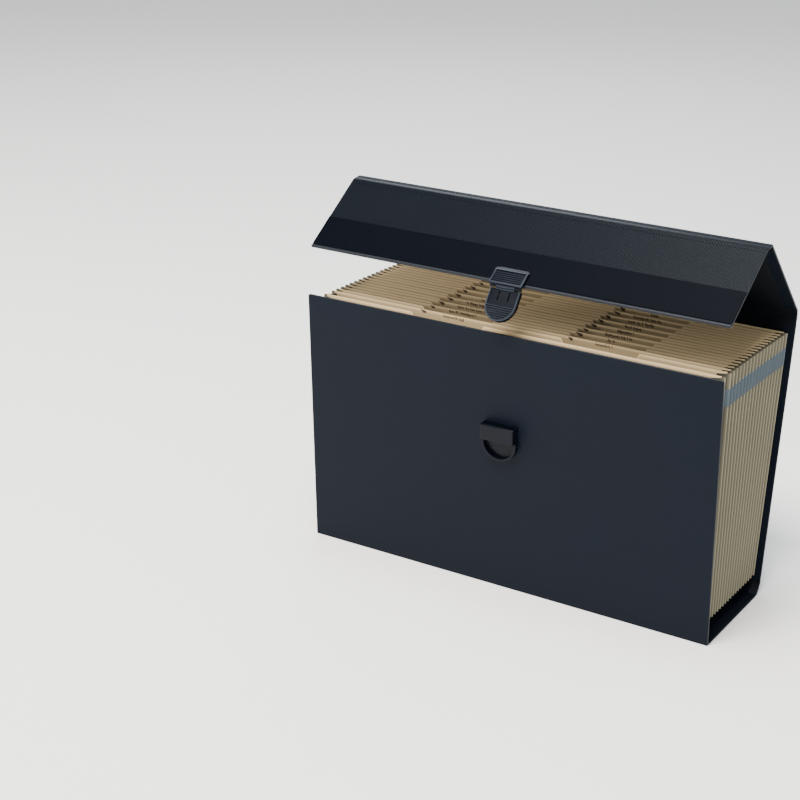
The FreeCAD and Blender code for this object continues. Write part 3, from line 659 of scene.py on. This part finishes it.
def make_boards():
    cover_board("front_cover", "front", "front", "front_panel", LEATHER, free=True)
    cover_board("rear_foot_cover", "rear_foot", "base", "rear_foot_strip", LEATHER)
    cover_board("back_cover", "back", "back", "back_panel", LEATHER)
    cover_board("rear_spine_cover", "rear_spine", "rear_spine", "lid_rear_spine", LEATHER)
    cover_board("lid_cover", "lid", "lid", "lid_panel", LEATHER)
    cover_board("front_spine_cover", "front_spine", "front_spine", "lid_front_spine", WOVEN)
    cover_board("flap_cover", "flap", "flap", "flap_panel", WOVEN, free=True)
    low = FRONT_FOOT.y + HALF + CREASE_GAP
    high = REAR_FOOT.y - HALF - CREASE_GAP
    base = Plane(Vector((0, 0, HALF)), Vector((0, 1, 0)))
    outline = rounded_outline((-WIDTH / 2, WIDTH / 2), (low, high), (CREASE_CORNER, CREASE_CORNER))
    made = slab("base_cover", base, outline, -HALF, HALF, RIM, LEATHER, margin=RIM_MARGIN)
    add(made, "base", "cover_board", "bottom_panel")


def make_linings():
    """Lining sheets glued inside the boards, short of the turned-in edges of the cover cloth."""
    sheets = [("front", "front", -1, 6 * MM, 10 * MM), ("back", "back", 1, 4 * MM, 3 * MM),
              ("lid", "lid", 1, 3 * MM, 3 * MM), ("flap", "flap", 1, 3 * MM, 10 * MM)]
    for key, body, side, from_crease, to_end in sheets:
        half = WIDTH / 2 - LINING_HEM
        run = (from_crease, LENGTHS[key] - to_end)
        outline = rounded_outline((-half, half), run, (1.5 * MM, 3 * MM))
        faces = sorted((side * HALF, side * (HALF + LINING_THICKNESS)))
        made = slab(f"{key}_lining", PLANES[key], outline, faces[0], faces[1], 0.12 * MM, LINING, steps=2)
        add(made, body, "cover_board")


def crease_skin(name, joint, before, after, side, material):
    """Cover cloth that runs over a crease from one board to the next, on one face."""
    a, b = PLANES[before], PLANES[after]
    centre = AXIS[joint]
    na, nb = side * a.normal, side * b.normal
    low, high = (HALF + face for face in SKIN_FACES)
    steps = 8

    def path(lift):
        points = [centre - a.along * SKIN_REACH + na * lift, centre - a.along * (SKIN_REACH / 2) + na * lift]
        bend = na.angle(nb)
        opens = (nb - na).dot(b.along - a.along) < 0
        if opens:
            for k in range(steps + 1):
                points.append(centre + na.slerp(nb, k / steps) * lift)
        else:
            corner = lift / math.cos(bend / 2)
            vertex = centre + (na + nb).normalized() * corner
            back, ahead = vertex - a.along * SKIN_CORNER, vertex + b.along * SKIN_CORNER
            for k in range(steps + 1):
                t = k / steps
                points.append(back * (1 - t) ** 2 + vertex * 2 * t * (1 - t) + ahead * t * t)
        points += [centre + b.along * (SKIN_REACH / 2) + nb * lift, centre + b.along * SKIN_REACH + nb * lift]
        return points

    loop = path(low) + path(high)[::-1]
    half = WIDTH / 2 - SKIN_INSET
    made = strip(name, [(p.y, p.z) for p in loop], (-half, half), material)
    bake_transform(made)


def make_skins():
    runs = [("back_fold", "rear_foot", "back", ("base", "back"), LEATHER),
            ("lid_rear_crease", "back", "rear_spine", ("back", "rear_spine"), LEATHER),
            ("lid_crease", "rear_spine", "lid", ("rear_spine", "lid"), LEATHER),
            ("flap_upper_crease", "lid", "front_spine", ("lid", "front_spine"), LEATHER),
            ("flap_crease", "front_spine", "flap", ("front_spine", "flap"), WOVEN)]
    for joint, before, after, bodies, material in runs:
        crease_skin(f"{joint}_skin", joint, before, after, -1, material)
        crease_skin(f"{joint}_inner_skin", joint, before, after, 1, LINING)


def make_band():
    """Smooth band on the lower part of the flap, round the latch plate."""
    low, high = BAND_START, FLAP_LENGTH - 2 * LIP_BEAD
    half = WIDTH / 2 - 0.5 * MM
    notch, top = LATCH_NOTCH, latch_top()
    outer = rounded_outline((-half, half), (low, high), (0.6 * MM, 3 * MM))
    split = next(k for k in range(len(outer)) if outer[k][0] < 0 and outer[k][1] >= high - 1e-9)
    outline = outer[:split] + [(notch, high), (notch, top), (-notch, top), (-notch, high)] + outer[split:]
    faces = (-HALF - BAND_THICKNESS, -HALF)
    made = slab("flap_band", PLANES["flap"], outline, *faces, 0.28 * MM, BAND, steps=3, margin=0.3 * MM)
    add(made, "flap", "cover_band", "flap_lip_band")


def make_lip():
    """Rolled edge of the flap, in two lengths beside the latch, with fine crimping across it."""
    plane = PLANES["flap"]
    centre = FLAP_LENGTH - LIP_BEAD
    side = WIDTH / 2 - 0.3 * MM
    for name, start, end in (("left", -side, -LATCH_NOTCH), ("right", LATCH_NOTCH, side)):
        turns, rings = 14, int(abs(end - start) / CRIMP_PITCH)
        vertices, flat, faces = [], [], []
        for r in range(rings + 1):
            x = start + (end - start) * r / rings
            crimp = CRIMP_DEPTH if r % 3 == 0 else 0.0
            near_end = min(x - start, end - x)
            taper = min(1.0, 0.72 + near_end / (3 * MM))
            radius = (LIP_BEAD - crimp) * taper
            for k in range(turns):
                a = 2 * math.pi * k / turns
                vertices.append(plane.at(x, centre + radius * math.cos(a), radius * math.sin(a)))
                flat.append((x, radius * a))
        for r in range(rings):
            for k in range(turns):
                j = (k + 1) % turns
                faces.append((r * turns + k, r * turns + j, (r + 1) * turns + j, (r + 1) * turns + k))
        faces.append(tuple(range(turns)))
        faces.append(tuple(range(rings * turns, (rings + 1) * turns)))
        made = piece(f"lip_roll_{name}", vertices, faces, EDGE, flat, angle=60)
        add(made, "flap", "cover_board")


def latch_top():
    """Distance along the flap of the latch plate's upper edge."""
    plane = PLANES["flap"]
    corners = [v.co for v in frame["nodes"]["latch_plate"].data.vertices]
    return min((c - plane.start).dot(plane.along) for c in corners) - LATCH_GAP


# ---- pocket leaves --------------------------------------------------------------------------------------
def leaf_turn(index):
    if index <= FIXED_LEAF:
        return FRONT_TURN * (FIXED_LEAF - index) / (FIXED_LEAF - 1)
    return -BACK_TURN * (index - FIXED_LEAF) / (LEAF_COUNT - FIXED_LEAF)


def leaf_body(index):
    return {1: "front", FIXED_LEAF: "base", LEAF_COUNT: "back"}.get(index, f"leaf_{index:02d}")


def leaf_plane(index):
    """Plane of a leaf at rest, with s its height above the floor in the shut case."""
    y = FIRST_LEAF_Y + (LAST_LEAF_Y - FIRST_LEAF_Y) * (index - 1) / (LEAF_COUNT - 1) - DEPTH / 2
    centre = {1: AXIS["front_fold"], LEAF_COUNT: AXIS["back_fold"]}.get(index, Vector((0, y, PIVOT_HEIGHT)))
    degrees = leaf_turn(index)
    start = turned(Vector((0, y, 0)), centre, degrees)
    return Plane(start, turned(Vector((0, y, 1)), centre, degrees) - start)


LEAF_PLANES = {index: leaf_plane(index) for index in range(1, LEAF_COUNT + 1)}


def window_of(index):
    """Span of a leaf's lowered edge, which shows the label on the leaf behind it."""
    if index in (1, LEAF_COUNT):
        return None
    return LEFT_WINDOW if index % 2 == 0 else RIGHT_WINDOW


def leaf_top(x, window):
    """Height of a leaf's top edge, with softened window corners."""
    if window is None:
        return LEAF_TOP
    ends = min((x - window[0]) / WINDOW_SLANT, (window[1] - x) / WINDOW_SLANT)
    t = min(1.0, max(0.0, ends))
    return LEAF_TOP - (LEAF_TOP - WINDOW_BASE) * t * t * (3 - 2 * t)


def make_leaf(index, rng):
    window = window_of(index)
    plane = LEAF_PLANES[index]
    stations = [-LEAF_HALF_WIDTH + 2 * LEAF_HALF_WIDTH * k / 40 for k in range(41)]
    if window:
        for edge, sign in ((window[0], 1), (window[1], -1)):
            stations += [edge + sign * WINDOW_SLANT * k / 8 for k in range(9)]
    stations = sorted(set(round(x, 7) for x in stations))
    rows = [0.0, 0.25, 0.5, 0.7, 0.85, 0.93, 1.0]
    bow = rng.uniform(-0.5, 0.9) * MM
    ripple = [(rng.uniform(0.1, 0.3) * MM, rng.uniform(1.5, 4.0), rng.uniform(0, 6.3)) for _ in range(2)]

    def sway(x, t):
        edge = 1 - (x / LEAF_HALF_WIDTH) ** 2
        wave = sum(a * math.sin(math.pi * f * x / LEAF_HALF_WIDTH + p) for a, f, p in ripple)
        return (bow * edge + wave * min(1, edge * 4)) * t * t

    vertices, flat, faces = [], [], []
    for side in (-1, 1):
        for x in stations:
            top = leaf_top(x, window)
            for t in rows:
                s = LEAF_BOTTOM + (top - LEAF_BOTTOM) * t
                vertices.append(plane.at(x, s, sway(x, t) + side * LEAF_THICKNESS / 2))
                flat.append((x, s - top))
    many, columns = len(rows), len(stations)
    layer = many * columns
    for c in range(columns - 1):
        for r in range(many - 1):
            a = c * many + r
            faces.append((a, a + many, a + many + 1, a + 1))
            faces.append((layer + a, layer + a + 1, layer + a + many + 1, layer + a + many))
        low, high = c * many, c * many + many - 1
        faces.append((low, layer + low, layer + low + many, low + many))
        faces.append((high, high + many, layer + high + many, layer + high))
    for r in range(many - 1):
        last = (columns - 1) * many + r
        faces.append((r, r + 1, layer + r + 1, layer + r))
        faces.append((last, layer + last, layer + last + 1, last + 1))
    made = piece(f"leaf_{index:02d}", vertices, faces, MANILA, flat, angle=40)
    add(made, leaf_body(index), "manila", f"pocket_leaf_{index:02d}")
    if window_of(index - 1):
        make_marks(index, plane, sway, rng)


def make_marks(index, plane, sway, rng):
    """Index label on a leaf, seen through the window in front: strokes of no particular lettering, with a
    tall first stroke in each word, and a dark wedge by the window's left corner that is a painted shadow."""
    window = window_of(index - 1)
    length = rng.choice([7, 12, 16, 22, 26, 28]) * MM
    start = sum(window) / 2 - length / 2
    base = LEAF_TOP - LABEL_DROP
    face = LEAF_THICKNESS / 2
    vertices, faces = [], []
    x, first = start, True
    while x < start + length:
        wide = rng.uniform(0.45, 0.95) * MM
        tall = 2.6 * MM if first else rng.choice([1.7, 1.7, 1.8, 2.5]) * MM
        drop = 0 if first else rng.choice([0, 0, 0, 0.0007])
        n = sway(x, 0.99) + face
        corners = [(x, base - drop), (x + wide, base - drop), (x + wide, base + tall), (x, base + tall)]
        i = len(vertices)
        for lift in MARK_LIFT:
            vertices += [plane.at(cx, cs, n + lift) for cx, cs in corners]
        faces += [(i, i + 3, i + 2, i + 1), (i + 4, i + 5, i + 6, i + 7)]
        faces += [(i + k, i + (k + 1) % 4, i + 4 + (k + 1) % 4, i + 4 + k) for k in range(4)]
        first = rng.random() < 0.1
        x += wide + (1.5 * MM if first else rng.uniform(0.25, 0.5) * MM)
    # Dark wedge by the window's left corner: a painted shadow of the raised leaf in front, in the ink colour.
    i = len(vertices)
    wide, tall = rng.uniform(5.0, 8.0) * MM, rng.uniform(2.6, 3.6) * MM
    start = window[0] + rng.uniform(2.2, 3.4) * MM
    corners = [(start + 0.55 * wide, base + 2.9 * MM - tall), (start + wide, base + 3.0 * MM - 0.9 * tall)]
    corners += [(start + 0.9 * wide, base + 2.4 * MM), (start, base + 3.1 * MM)]
    for lift in SHADOW_WEDGE_LIFT:
        vertices += [plane.at(cx, cs, sway(cx, 0.99) + face + lift) for cx, cs in corners]
    faces += [(i, i + 3, i + 2, i + 1), (i + 4, i + 5, i + 6, i + 7)]
    faces += [(i + k, i + (k + 1) % 4, i + 4 + (k + 1) % 4, i + 4 + k) for k in range(4)]
    made = piece(f"label_and_shadow_marks_{index:02d}", vertices, faces, INK_AND_SHADOW)
    add(made, leaf_body(index), "manila")


def make_leaves():
    rng = random.Random(7)
    for index in range(1, LEAF_COUNT + 1):
        make_leaf(index, rng)


def pleat_blend(made, index):
    """Bakes a pleat's placement into its mesh; it is not tied to the leaves' bodies."""
    middle = (GUSSET_BOTTOM + GUSSET_TOP) / 2
    near, far = (LEAF_PLANES[i].at(0, middle, 0) for i in (index, index + 1))
    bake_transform(made)


def folded(index, height, side, shift):
    """Section of a side pleat at one height: outer folds at both leaves, an inner fold between."""
    near, far = (LEAF_PLANES[i].at(0, height, 0) for i in (index, index + 1))
    middle = (near + far) / 2
    valley = GUSSET_VALLEY + shift
    shoulder, root = GUSSET_TIP - PLEAT_SOFTENING, valley + PLEAT_SOFTENING
    belly = (GUSSET_TIP + valley) / 2 + PLEAT_BELLY
    points = [(GUSSET_TIP, near), (shoulder, near.lerp(middle, 0.08)), (belly, near.lerp(middle, 0.55)),
              (root, near.lerp(middle, 0.93)), (valley, middle), (root, middle.lerp(far, 0.07)),
              (belly, middle.lerp(far, 0.45)), (shoulder, middle.lerp(far, 0.92)), (GUSSET_TIP, far)]
    return [Vector((side * x, p.y, p.z)) for x, p in points]


def wall_between(sections, thickness, outward):
    """A closed thin wall through sections of points, thickened by moving each point inwards in X."""
    many = len(sections[0])
    outer = [p for section in sections for p in section]
    inner = [p - outward * thickness for p in outer]
    vertices = outer + inner
    shift = len(outer)
    faces = []
    for r in range(len(sections) - 1):
        for k in range(many - 1):
            a = r * many + k
            faces.append((a, a + 1, a + many + 1, a + many))
            faces.append((shift + a, shift + a + many, shift + a + many + 1, shift + a + 1))
        for k in (0, many - 1):
            a = r * many + k
            faces.append((a, a + many, shift + a + many, shift + a))
    for r in (0, len(sections) - 1):
        for k in range(many - 1):
            a = r * many + k
            faces.append((a, a + 1, shift + a + 1, shift + a))
    return vertices, faces


def fold_depths(vertices):
    """Flat coordinates of a pleat: how far each point lies in from the outer folds, and its height."""
    return [(GUSSET_TIP - abs(v.x), v.z) for v in vertices]


def side_walls(index, heights, shift, lift, thickness):
    """Folded walls at both ends of a pocket through the given heights."""
    vertices, faces = [], []
    for side in (-1, 1):
        sections = [[p + side * lift * RIGHT for p in folded(index, h, side, shift)] for h in heights]
        more, quads = wall_between(sections, thickness, side * RIGHT)
        faces += [tuple(i + len(vertices) for i in quad) for quad in quads]
        vertices += more
    return vertices, faces


def floor_wall(index):
    """Folded floor of a pocket."""
    near, far = (LEAF_PLANES[i].at(0, GUSSET_BOTTOM, 0) for i in (index, index + 1))
    ridge = (near + far) / 2 + UP * BOTTOM_PLEAT_RISE
    reach = GUSSET_VALLEY - 2 * MM
    section = (near, near.lerp(ridge, 0.5), ridge, ridge.lerp(far, 0.5), far)
    rows = [[p + x * RIGHT for p in section] for x in (-reach, 0, reach)]
    return wall_between(rows, FLOOR_WALL, -UP)


def pleat_piece(name, index, vertices, faces, material, slot, *nodes):
    made = piece(name, vertices, faces, material, fold_depths(vertices), angle=60)
    pleat_blend(made, index)
    if index == 1:
        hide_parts(*nodes)


def make_pleats():
    rng = random.Random(11)
    rise = GUSSET_TOP - GUSSET_BOTTOM
    heights = [GUSSET_BOTTOM + rise * t for t in (0, 0.02, 0.2, 0.4, 0.6, 0.8, 0.97, 1)]
    tape_heights = (TAPE_BAND[0], sum(TAPE_BAND) / 2, TAPE_BAND[1])
    for index in range(1, LEAF_COUNT):
        shift = rng.uniform(-0.6, 0.8) * MM
        vertices, faces = side_walls(index, heights, shift, 0.0, PLEAT_WALL)
        more, quads = floor_wall(index)
        faces += [tuple(i + len(vertices) for i in quad) for quad in quads]
        pleat_piece(f"pleat_{index:02d}", index, vertices + more, faces, GUSSET, "gusset_paper",
                    "gusset_left", "gusset_right", "gusset_bottom")
        vertices, faces = side_walls(index, tape_heights, shift, TAPE_LIFT, TAPE_WALL)
        pleat_piece(f"tape_{index:02d}", index, vertices, faces, TAPE, "gusset_tape",
                    "gusset_tape_left", "gusset_tape_right")


# ---- fittings that keep their CAD shape -------------------------------------------------------------------
def finish_node(name, material, bevel, edge_highlight=None):
    """Gives a CAD node its material and softened edges, which may have a second material carrying a painted
    highlight.
    """
    node = frame["nodes"][name]
    node.data.materials.clear()
    node.data.materials.append(material)
    if edge_highlight:
        node.data.materials.append(edge_highlight)
    weld = node.modifiers.new("weld", "WELD")
    weld.merge_threshold = WELD
    soften = node.modifiers.new("soften", "BEVEL")
    soften.width = bevel
    soften.segments = 3
    soften.limit_method = "ANGLE"
    soften.angle_limit = math.radians(30)
    soften.harden_normals = True
    soften.material = 1 if edge_highlight else 0


def raised_face(name):
    """Normal and height of the largest face direction on a node's front, clear of the hinge's
    knuckles, and the depth of the recess round it."""
    pin = AXIS["tongue_hinge"].yz
    faces = [f for f in frame["nodes"][name].data.polygons
             if f.normal.y < -0.1 and (f.center.yz - pin).length > KNUCKLE_REACH]
    areas = {}
    for face in faces:
        key = tuple(round(c, 1) for c in face.normal)
        areas[key] = areas.get(key, 0.0) + face.area
    main = max(areas, key=areas.get)
    chosen = [f for f in faces if tuple(round(c, 1) for c in f.normal) == main]
    normal = max(chosen, key=lambda f: f.area).normal.copy()
    corners = frame["nodes"][name].data.vertices
    top = max(corners[i].co.dot(normal) for f in chosen for i in f.vertices)
    return normal, top, TONGUE_RECESS


def make_fittings():
    for name in ("latch_keeper", "handle_base_plate"):
        finish_node(name, MOULDED, MOULDING_BEVEL, MOULDING_EDGE_HIGHLIGHT)
    for name in ("latch_plate", "latch_tongue"):
        finish_node(name, moulded(f"worn_{name}", raised_face(name)), MOULDING_BEVEL, MOULDING_EDGE_HIGHLIGHT)
    finish_node("carry_handle", MOULDED, HANDLE_BEVEL)
    for name in ("keeper_rivets", "latch_rivets", "handle_rivets", "handle_pivot_pins", "latch_hinge_pin"):
        finish_node(name, PLATED, RIVET_BEVEL)
    for name in ("keeper_backing_plate", "lid_backing_plate", "latch_backing_plate"):
        finish_node(name, PAINTED, SHEET_BEVEL)


make_camera()
make_light()
make_floor()
make_boards()
make_linings()
make_skins()
make_band()
make_lip()
make_leaves()
make_pleats()
make_fittings()
